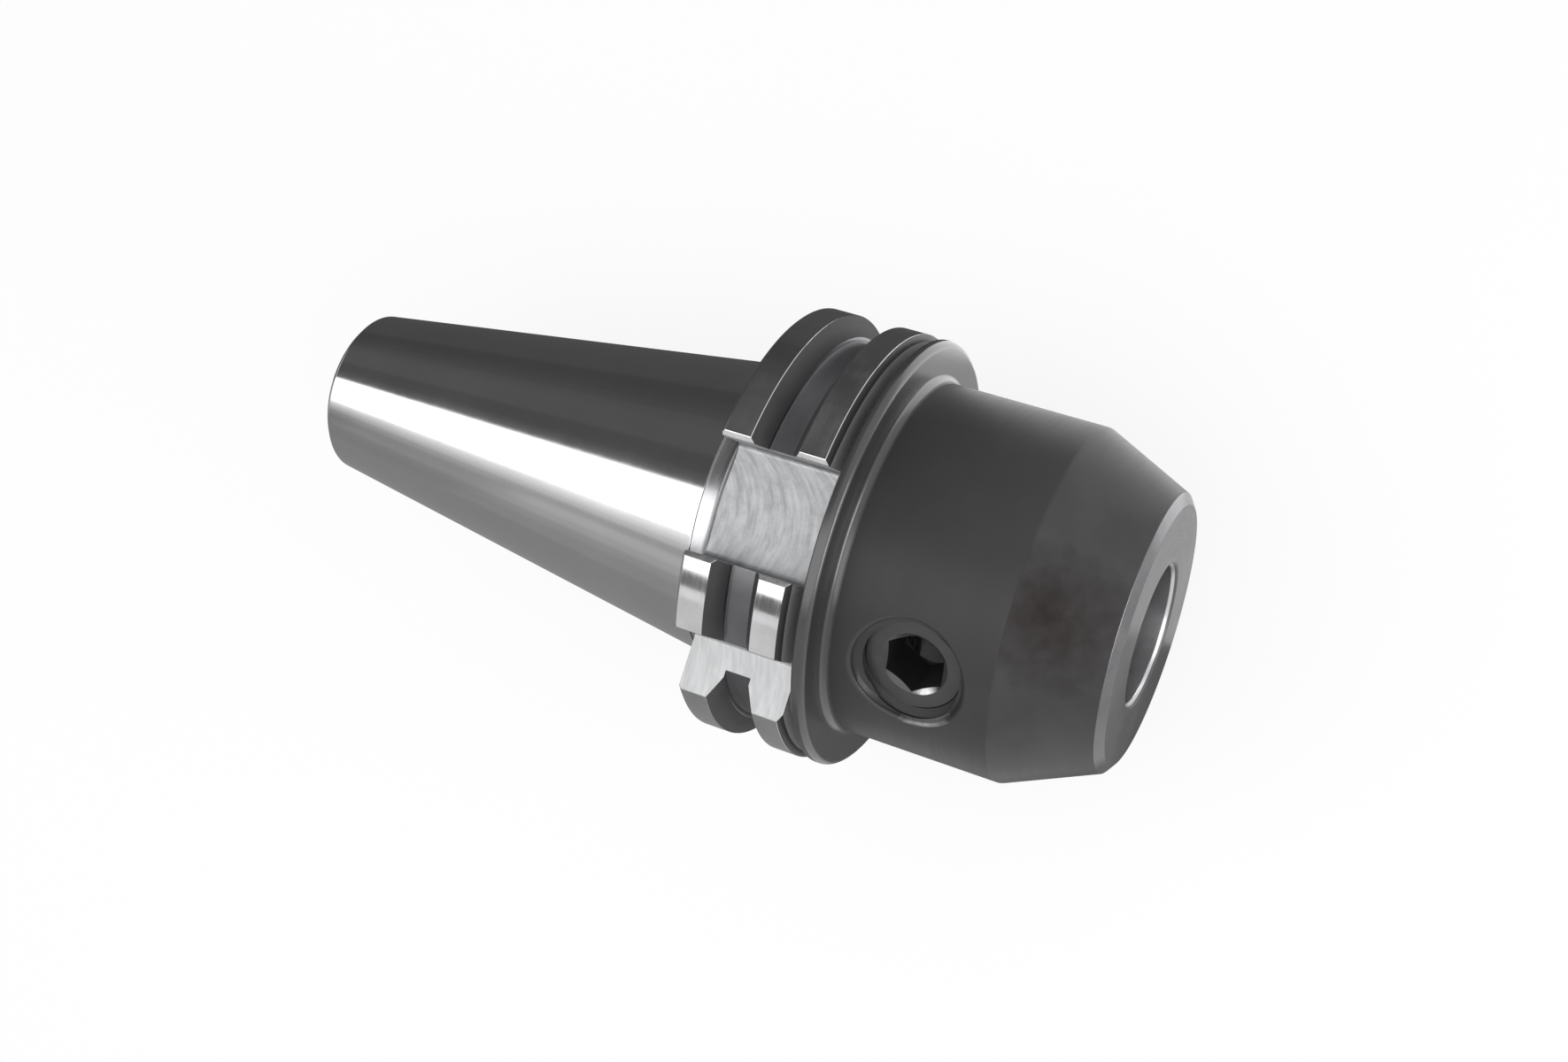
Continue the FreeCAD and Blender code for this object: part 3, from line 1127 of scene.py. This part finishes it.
@dataclass(frozen=True)
class MilledSteel:
    """Bare steel with the arcs of a milling cutter."""

    name: str
    colour: Colour
    dark_colour: Colour
    roughness: float
    arcs: float
    arc_height: float
    cutter_radius: float
    roughness_spread: float = 0.05
    centre: float = 0.0
    grain: float = 900.0
    grain_height: float = 0.000002

    def make(self, effects: Effects) -> bpy.types.Material:
        """Builds the material.

        Args:
            effects: The shared node groups.

        Returns:
            The material.
        """
        material = bpy.data.materials.new(self.name)
        material.use_nodes = True
        tree = material.node_tree
        tree.nodes.clear()
        nodes = Nodes(tree)
        marks = nodes.add("ShaderNodeGroup", node_tree=effects.milling)
        marks.inputs["Arcs Per Metre"].default_value = self.arcs
        marks.inputs["Cutter Radius"].default_value = self.cutter_radius
        marks.inputs["Centre"].default_value = self.centre
        marks.inputs["Grain Per Metre"].default_value = self.grain
        both = nodes.add("ShaderNodeMix", {0: 0.4, 2: marks.outputs["Height"], 3: marks.outputs["Mask"]},
                         data_type="FLOAT")
        tone = nodes.add("ShaderNodeMapRange", {"Value": both.outputs[0], "From Min": 0.38, "From Max": 0.62})
        base = nodes.add("ShaderNodeMix", {"Factor": tone.outputs[0], 6: (*self.dark_colour, 1.0),
                                           7: (*self.colour, 1.0)}, data_type="RGBA")
        low = self.roughness - self.roughness_spread
        high = self.roughness + self.roughness_spread
        rough = nodes.add("ShaderNodeMapRange", {"Value": marks.outputs["Mask"], "From Min": 0.3,
                                                 "From Max": 0.7,
                                                 "To Min": low, "To Max": high})
        grain = nodes.add("ShaderNodeBump", {"Strength": 1.0, "Distance": self.grain_height,
                                             "Height": marks.outputs["Mask"]})
        bump = nodes.add("ShaderNodeBump", {"Strength": 1.0, "Distance": self.arc_height,
                                            "Height": marks.outputs["Height"], "Normal": grain.outputs[0]})
        shader = nodes.add("ShaderNodeBsdfPrincipled", {"Base Color": base.outputs[2], "Metallic": 1.0,
                                                        "Roughness": rough.outputs[0],
                                                        "Normal": bump.outputs[0]})
        nodes.add("ShaderNodeOutputMaterial", {"Surface": shader.outputs[0]})
        return material


@dataclass
class Finishes:
    """Every finish of the object, by zone."""

    effects: Effects = field(default_factory=Effects)

    def by_zone(self) -> list[bpy.types.Material]:
        """Returns the holder's materials in the order of the zones."""
        steel = (0.7, 0.7, 0.71)
        ground = TurnedSteel("ground_steel", colour=steel, dark_colour=(0.66, 0.66, 0.67),
                             worn_colour=grey(0.8), roughness=0.12, roughness_spread=0.02, rings=2600.0,
                             ring_height=0.0000004, wear=0.3)
        land = TurnedSteel("ground_land", colour=steel, dark_colour=(0.6, 0.6, 0.61),
                           worn_colour=grey(0.8), roughness=0.11, roughness_spread=0.04, rings=2600.0,
                           ring_height=0.0000008, wear=0.3, slow=160.0)
        neck = TurnedSteel("neck_steel", colour=(0.55, 0.55, 0.56), dark_colour=(0.45, 0.45, 0.46),
                           worn_colour=grey(0.7), roughness=0.27, rings=3200.0, ring_height=0.000001,
                           wear=0.3)
        groove = TurnedSteel("groove_steel", colour=(0.2, 0.2, 0.21), dark_colour=(0.13, 0.13, 0.135),
                             worn_colour=grey(0.35), roughness=0.38, rings=3200.0, ring_height=0.000001,
                             wear=0.3)
        oxide = TurnedSteel("black_oxide", colour=(0.042, 0.042, 0.0435),
                            dark_colour=(0.032, 0.0315, 0.032), worn_colour=grey(0.14), metallic=0.0,
                            roughness=0.46, roughness_spread=0.04, rings=3600.0, ring_height=0.0000012,
                            wear=0.35, slow=45.0, specular=0.22)
        collar = TurnedSteel("collar_oxide", colour=(0.039, 0.039, 0.041),
                             dark_colour=(0.03, 0.03, 0.031), worn_colour=grey(0.16), metallic=0.0,
                             roughness=0.26, roughness_spread=0.01, rings=3600.0, ring_height=0.00000005,
                             wear=0.2, slow=45.0, specular=0.8)
        stain = StainAndGlintPatch(place=(0.0518, -0.0024, 0.0240), reach=0.0092,
                            colour=(0.011, 0.0055, 0.0055), bare=False, stretch=1.9, grain=420.0)
        cone = TurnedSteel("cone_oxide", colour=(0.056, 0.056, 0.058), dark_colour=(0.043, 0.042, 0.043),
                           worn_colour=grey(0.14), metallic=0.0, roughness=0.42, roughness_spread=0.04,
                           rings=3600.0, ring_height=0.0000012, wear=0.35, slow=70.0, specular=0.18,
                           patch=stain)
        step = TurnedSteel("shadow_step", colour=grey(0.05), dark_colour=grey(0.04),
                           worn_colour=grey(0.1), metallic=0.0, roughness=0.6, roughness_spread=0.04,
                           rings=3600.0, ring_height=0.0000012, wear=0.0, specular=0.2)
        flank = TurnedSteel("turned_flank", colour=(0.062, 0.062, 0.064),
                            dark_colour=(0.046, 0.045, 0.046), worn_colour=grey(0.3), metallic=0.0,
                            roughness=0.56, rings=3000.0, ring_height=0.000001, wear=0.5, specular=0.15)
        # Painted light: the run-out groove's walls get a light grey that stands in for light the deep, narrow
        # gap doesn't get.
        runout = TurnedSteel("runout_painted_light", colour=(0.34, 0.34, 0.345),
                             dark_colour=(0.28, 0.28, 0.284), worn_colour=grey(0.4), metallic=0.0,
                             roughness=0.5, rings=3000.0, ring_height=0.000001, wear=0.2)
        nose = TurnedSteel("turned_nose", colour=(0.135, 0.135, 0.14), dark_colour=(0.105, 0.105, 0.109),
                           worn_colour=grey(0.34), roughness=0.34, rings=4200.0, ring_height=0.0000012,
                           wear=0.3, slow=130.0)
        bevel = TurnedSteel("turned_bevel", colour=(0.2, 0.2, 0.205), dark_colour=(0.16, 0.16, 0.165),
                            worn_colour=grey(0.5), roughness=0.3, rings=4200.0, ring_height=0.0000006,
                            wear=0.5, slow=130.0)
        bore = TurnedSteel("bore_steel", colour=(0.58, 0.58, 0.59), dark_colour=(0.5, 0.5, 0.51),
                           worn_colour=grey(0.7), roughness=0.3, roughness_spread=0.04, rings=3000.0,
                           ring_height=0.0000006, wear=0.4)
        drilled = TurnedSteel("drilled_steel", colour=(0.2, 0.2, 0.205), dark_colour=grey(0.12),
                              worn_colour=grey(0.35), roughness=0.42, roughness_spread=0.08,
                              rings=2500.0, ring_height=0.000002, wear=0.3)
        slot = MilledSteel("milled_slot", colour=(0.44, 0.444, 0.453), dark_colour=(0.29, 0.293, 0.3),
                           roughness=0.5, arcs=1100.0, arc_height=0.000008, cutter_radius=0.012,
                           centre=-0.003)
        edge = MilledSteel("slot_edge", colour=grey(0.85), dark_colour=grey(0.75), roughness=0.3,
                           arcs=1300.0, arc_height=0.000001, cutter_radius=0.02)
        notch = MilledSteel("milled_notch", colour=(0.47, 0.474, 0.478),
                            dark_colour=(0.36, 0.363, 0.366), roughness=0.5, roughness_spread=0.06,
                            arcs=1300.0, arc_height=0.000004, cutter_radius=0.02, centre=-0.026)
        thread = TurnedSteel("cut_thread", colour=grey(0.03), dark_colour=grey(0.02),
                             worn_colour=grey(0.08), metallic=0.0, roughness=0.5, rings=2500.0,
                             ring_height=0.000001, wear=0.0, specular=0.3)
        # Painted glint: a lighter metallic spot on the lower side of the screw hole's mouth, where the
        # highlight falls.
        mouth_glint = StainAndGlintPatch(place=(0.0376, -0.0195, 0.0166), reach=0.0036, amount=0.9,
                                  colour=grey(0.5))
        mouth = TurnedSteel("mouth_with_painted_glint", colour=(0.036, 0.036, 0.037),
                            dark_colour=(0.028, 0.028, 0.029), worn_colour=grey(0.12), metallic=0.0,
                            roughness=0.4, roughness_spread=0.04, rings=2500.0, ring_height=0.0000004,
                            wear=0.0, slow=120.0, specular=0.4, patch=mouth_glint)
        chosen = {Zone.TAPER: ground, Zone.LAND: land, Zone.GROOVE: groove, Zone.OXIDE: oxide,
                  Zone.NOSE: nose,
                  Zone.BORE: bore, Zone.SLOT: slot, Zone.NOTCH: notch, Zone.THREAD: thread,
                  Zone.DRILLED: drilled,
                  Zone.NECK: neck, Zone.MOUTH: mouth, Zone.COLLAR: collar, Zone.CONE: cone, Zone.STEP: step,
                  Zone.SLOT_EDGE: edge, Zone.BEVEL: bevel, Zone.FLANK: flank, Zone.RUNOUT: runout}
        return [chosen[zone].make(self.effects) for zone in Zone]

    def screw(self) -> list[bpy.types.Material]:
        """Returns the screw's materials in the order of its zones."""
        outside = TurnedSteel("screw_oxide", colour=(0.045, 0.045, 0.047),
                              dark_colour=(0.035, 0.035, 0.037), worn_colour=grey(0.15), metallic=0.0,
                              roughness=0.4, rings=3000.0, ring_height=0.0000015, wear=0.3, slow=200.0)
        socket = TurnedSteel("socket_oxide", colour=(0.022, 0.02, 0.02),
                             dark_colour=(0.014, 0.013, 0.013), worn_colour=grey(0.05), metallic=0.0,
                             roughness=0.5, roughness_spread=0.06, rings=3000.0, ring_height=0.0000015,
                             wear=0.0, slow=200.0, specular=0.3)
        # Painted glint: a lighter metallic spot on the lower side of the socket's lead cone, where the
        # highlight falls.
        lead_glint = StainAndGlintPatch(place=(0.03735, -0.01655, 0.01554), reach=0.0019, colour=grey(0.65))
        lead = TurnedSteel("lead_with_painted_glint", colour=(0.04, 0.04, 0.041), dark_colour=grey(0.03),
                           worn_colour=grey(0.1), metallic=0.0, roughness=0.25, roughness_spread=0.04,
                           rings=3000.0, ring_height=0.0000015, wear=0.0, slow=300.0, patch=lead_glint)
        chosen = {ScrewZone.OUTSIDE: outside, ScrewZone.SOCKET: socket, ScrewZone.SOCKET_MOUTH: lead}
        return [chosen[zone].make(self.effects) for zone in ScrewZone]


@dataclass
class PhotoCamera:
    """The camera at the photograph's viewing angle, in metres."""

    location: tuple[float, float, float] = (0.10887, -0.00424, 0.28988)
    forward: tuple[float, float, float] = (-0.3372, 0.0090, -0.9414)
    up: tuple[float, float, float] = (-0.2832, 0.9527, 0.1106)
    lens: float = 48.20
    sensor: float = 36.0

    def build(self) -> bpy.types.Object:
        """Makes the camera and hands it to the scene."""
        data = bpy.data.cameras.new("photo_camera")
        data.sensor_fit = "HORIZONTAL"
        data.sensor_width = self.sensor
        data.lens = self.lens
        data.clip_start = 0.01
        data.clip_end = 10.0
        camera = bpy.data.objects.new("photo_camera", data)
        bpy.context.scene.collection.objects.link(camera)
        back = -Vector(self.forward).normalized()
        up = Vector(self.up)
        up = (up - up.dot(back) * back).normalized()
        right = up.cross(back)
        turn = Matrix((right, up, back)).transposed().to_4x4()
        camera.matrix_world = Matrix.Translation(self.location) @ turn
        bpy.context.scene.camera = camera
        return camera


@dataclass
class Panel:
    """One long card or lamp beside the object, facing it. Angles run from straight up towards -Y."""

    name: str
    start: float
    end: float
    value: float
    x_from: float = -0.55
    x_to: float = 0.45
    distance: float = 0.40


# Where the long dark cards start and end along X, in metres
DARK_SPAN = (-0.9, -0.085)

# Where the grey cards behind the flange split along X, in metres
REAR_SPANS = ((-0.9, -0.47), (-0.47, -0.37), (-0.37, -0.22))

# Their brightness from the lamp's edge to the floor: start, end, then one value for each span
REAR_GREYS = (
    (34.0, 39.0, (0.92, 0.97, 1.1)),
    (39.0, 43.0, (0.7, 0.82, 0.88)),
    (43.0, 48.0, (0.5, 0.66, 0.67)),
    (48.0, 55.0, (0.3, 0.43, 0.43)),
    (55.0, 64.0, (0.24, 0.33, 0.55)),
    (64.0, 72.0, (0.235, 0.345, 0.47)),
    (72.0, 80.0, (0.215, 0.29, 0.37)),
    (80.0, 97.0, (0.2, 0.275, 0.33)),
)

# The dark cards on the other side, which give the upper part of the taper its faint streaks
DARK_GREYS = (
    (-97.0, -80.0, 0.07),
    (-80.0, -71.0, 0.077),
    (-71.0, -63.0, 0.087),
    (-63.0, -55.0, 0.104),
    (-55.0, -31.0, 0.112),
    (-31.0, -15.0, 0.09),
    (-15.0, -4.0, 0.11),
)


@dataclass
class FloorCard:
    """One flat card on the floor, seen only in reflections."""

    name: str
    x_from: float
    x_to: float
    y_from: float
    y_to: float
    value: float


@dataclass
class Studio:
    """The pale floor, the plain surroundings, the cards and the soft lamp."""

    floor_level: float
    floor_size: float = 6.0
    floor_colour: float = 0.9
    background_share: float = 0.85
    world_light: float = 0.6
    lamp_start: float = -4.0
    rear_lamp_end: float = 34.0
    front_lamp_end: float = 38.5
    lamp_distance: float = 0.42
    lamp_level: float = 1.45
    split: float = -0.22
    dark_streak: float = 9.0
    white_streak: float = 6.0
    card_end: float = 97.0
    card_lift: float = 0.0003
    nose_lamp_place: tuple[float, float, float] = (0.62, 0.0, 0.2)
    nose_lamp_size: tuple[float, float] = (0.4, 0.14)
    nose_lamp_level: float = 8.0

    def lamps(self) -> list[Panel]:
        """Returns the two halves of the overhead softbox."""
        return [
            Panel("rear_softbox", self.lamp_start, self.rear_lamp_end, self.lamp_level, x_to=self.split,
                  distance=self.lamp_distance),
            Panel("front_softbox", self.lamp_start, self.front_lamp_end, self.lamp_level, x_from=self.split,
                  distance=self.lamp_distance),
        ]

    def panels(self) -> list[Panel]:
        """Returns the curved cards, which give the long soft streaks on the taper."""
        front = self.front_lamp_end
        dark_end = front + self.dark_streak
        white_end = dark_end + self.white_streak
        cards = [Panel("dark_card", start, end, value, *DARK_SPAN) for start, end, value in DARK_GREYS]
        for start, end, values in REAR_GREYS:
            for (x_from, x_to), value in zip(REAR_SPANS, values):
                cards.append(Panel("rear_card", start, end, value, x_from=x_from, x_to=x_to))
        cards.append(Panel("front_dark_streak", front, dark_end, 0.2, x_from=self.split))
        cards.append(Panel("front_white_streak", dark_end, white_end, 1.0, x_from=self.split))
        cards.append(Panel("front_card", white_end, self.card_end, 0.78, x_from=self.split))
        return cards

    def floor_cards(self) -> list[FloorCard]:
        """Returns the flat cards beside and under the object, in metres: painted reflections of the floor."""
        return [
            FloorCard("dark_floor_card", -1.4, 0.012, 0.0, 0.7, 0.085),
            FloorCard("grey_floor_card", -1.4, 0.012, -0.7, 0.0, 0.29),
            # Painted contact shadow, which reflections show under the object's front end
            FloorCard("contact_shadow_card", 0.012, 0.075, -0.042, 0.0, 0.25),
            FloorCard("light_floor_card", 0.01, 0.14, 0.034, 0.4, 2.2),
        ]

    def nose_lamp(self) -> None:
        """Makes the small soft lamp in front of the nose, which lines the collar's rim and root."""
        data = bpy.data.lights.new("nose_lamp", "AREA")
        data.shape = "RECTANGLE"
        data.size, data.size_y = self.nose_lamp_size
        data.energy = self.nose_lamp_level * math.pi * data.size * data.size_y
        lamp = bpy.data.objects.new("nose_lamp", data)
        bpy.context.scene.collection.objects.link(lamp)
        place = Vector(self.nose_lamp_place)
        back = place.normalized()
        right = Vector((0, 1, 0))
        turn = Matrix((right, back.cross(right), back)).transposed().to_4x4()
        lamp.matrix_world = Matrix.Translation(place) @ turn

    def edge(self, panel: Panel, angle: float) -> Vector:
        """Returns the (y, z) point of a panel at an angle in degrees."""
        turn = math.radians(angle)
        return Vector((-math.sin(turn), math.cos(turn))) * panel.distance

    def lamp(self, panel: Panel) -> bpy.types.Object:
        """Makes a long soft lamp across a panel's place.

        Args:
            panel: The place, and the brightness that the lamp shows.

        Returns:
            The lamp.
        """
        first = self.edge(panel, panel.start)
        last = self.edge(panel, panel.end)
        middle = (first + last) / 2
        across = (last - first).length
        along = panel.x_to - panel.x_from
        data = bpy.data.lights.new(panel.name, "AREA")
        data.shape = "RECTANGLE"
        data.size = along
        data.size_y = across
        data.energy = panel.value * math.pi * along * across
        lamp = bpy.data.objects.new(panel.name, data)
        bpy.context.scene.collection.objects.link(lamp)
        place = Vector(((panel.x_from + panel.x_to) / 2, middle.x, middle.y))
        back = Vector((0, middle.x, middle.y)).normalized()
        right = Vector((1, 0, 0))
        turn = Matrix((right, back.cross(right), back)).transposed().to_4x4()
        lamp.matrix_world = Matrix.Translation(place) @ turn
        return lamp

    def show_in_gloss_only(self, name: str, places: list[tuple], faces: list[tuple], value: float) -> None:
        """Makes a card of one brightness that only reflections show.

        Args:
            name: The card's name.
            places: Its points, in metres.
            faces: The point numbers of its faces.
            value: Its brightness, where 1 is white.
        """
        mesh = bpy.data.meshes.new(name)
        mesh.from_pydata(places, [], faces)
        card = new_object(name, mesh)
        material = bpy.data.materials.new(name)
        material.use_nodes = True
        material.node_tree.nodes.clear()
        nodes = Nodes(material.node_tree)
        glow = nodes.add("ShaderNodeEmission", {"Color": (1, 1, 1, 1), "Strength": value})
        nodes.add("ShaderNodeOutputMaterial", {"Surface": glow.outputs[0]})
        mesh.materials.append(material)
        card.visible_camera = False
        card.visible_diffuse = False
        card.visible_shadow = False

    def card(self, panel: Panel, steps: int = 8) -> None:
        """Makes a long curved card."""
        places = []
        faces = []
        for step in range(steps + 1):
            point = self.edge(panel, panel.start + (panel.end - panel.start) * step / steps)
            level = max(point.y, self.floor_level + 0.002)
            places += [(panel.x_from, point.x, level), (panel.x_to, point.x, level)]
        for step in range(steps):
            low = 2 * step
            faces.append((low, low + 1, low + 3, low + 2))
        self.show_in_gloss_only(panel.name, places, faces, panel.value)

    def floor_card(self, card: FloorCard) -> None:
        """Makes a flat card just above the floor."""
        level = self.floor_level + self.card_lift
        places = [(card.x_from, card.y_from, level), (card.x_to, card.y_from, level),
                  (card.x_to, card.y_to, level), (card.x_from, card.y_to, level)]
        self.show_in_gloss_only(card.name, places, [(0, 1, 2, 3)], card.value)

    def floor(self) -> None:
        """Makes the pale floor, which keeps the object's shadow."""
        half = self.floor_size / 2
        mesh = bpy.data.meshes.new("floor")
        level = self.floor_level
        mesh.from_pydata([(-half, -half, level), (half, -half, level), (half, half, level),
                          (-half, half, level)],
                         [], [(0, 1, 2, 3)])
        floor = new_object("floor", mesh)
        material = bpy.data.materials.new("pale_floor")
        material.use_nodes = True
        material.node_tree.nodes.clear()
        nodes = Nodes(material.node_tree)
        colour = (self.floor_colour,) * 3 + (1.0,)
        lit = nodes.add("ShaderNodeBsdfDiffuse", {"Color": colour})
        plain = nodes.add("ShaderNodeEmission", {"Color": (1, 1, 1, 1), "Strength": 1.0})
        seen = self.background_rays(nodes)
        share = nodes.math("MULTIPLY", seen, self.background_share)
        mix = nodes.add("ShaderNodeMixShader", {0: share, 1: lit.outputs[0], 2: plain.outputs[0]})
        nodes.add("ShaderNodeOutputMaterial", {"Surface": mix.outputs[0]})
        mesh.materials.append(material)

    def background_rays(self, nodes: Nodes) -> bpy.types.NodeSocket:
        """Returns 1 for rays that see the background: from the camera, in gloss and through glass."""
        path = nodes.add("ShaderNodeLightPath").outputs
        gloss = nodes.math("MAXIMUM", path["Is Glossy Ray"], path["Is Transmission Ray"])
        return nodes.math("MAXIMUM", path["Is Camera Ray"], gloss)

    def world(self) -> None:
        """Makes the plain surroundings: white where they are seen, softer where they light the object."""
        world = bpy.data.worlds.new("studio")
        bpy.context.scene.world = world
        world.use_nodes = True
        world.node_tree.nodes.clear()
        nodes = Nodes(world.node_tree)
        seen = self.background_rays(nodes)
        strength = nodes.add("ShaderNodeMapRange", {"Value": seen, "To Min": self.world_light, "To Max": 1.0})
        light = nodes.add("ShaderNodeBackground", {"Color": (1, 1, 1, 1), "Strength": strength.outputs[0]})
        nodes.add("ShaderNodeOutputWorld", {"Surface": light.outputs[0]})

    def build(self) -> None:
        """Builds the whole studio."""
        self.world()
        self.floor()
        for lamp in self.lamps():
            self.lamp(lamp)
        self.nose_lamp()
        for panel in self.panels():
            self.card(panel)
        for card in self.floor_cards():
            self.floor_card(card)


def main() -> None:
    """Builds the object, the camera and the studio, and reports each piece."""
    logging.basicConfig(level=logging.INFO, format="%(name)s: %(message)s")
    bpy.context.scene.view_settings.view_transform = "Standard"
    PhotoCamera().build()
    finishes = Finishes()
    place = ClampPlace()
    pieces = [
        HolderBody(place, finishes.by_zone()).build(),
        ClampingScrew(place, finishes.screw()).build(),
    ]
    for piece in pieces:
        triangles = sum(len(face.vertices) - 2 for face in piece.data.polygons)
        LOG.info("%s: %d faces, %d triangles", piece.name, len(piece.data.polygons), triangles)
    Studio(floor_level=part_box("holder_body")[0].z).build()


if __name__ == "__main__":
    main()
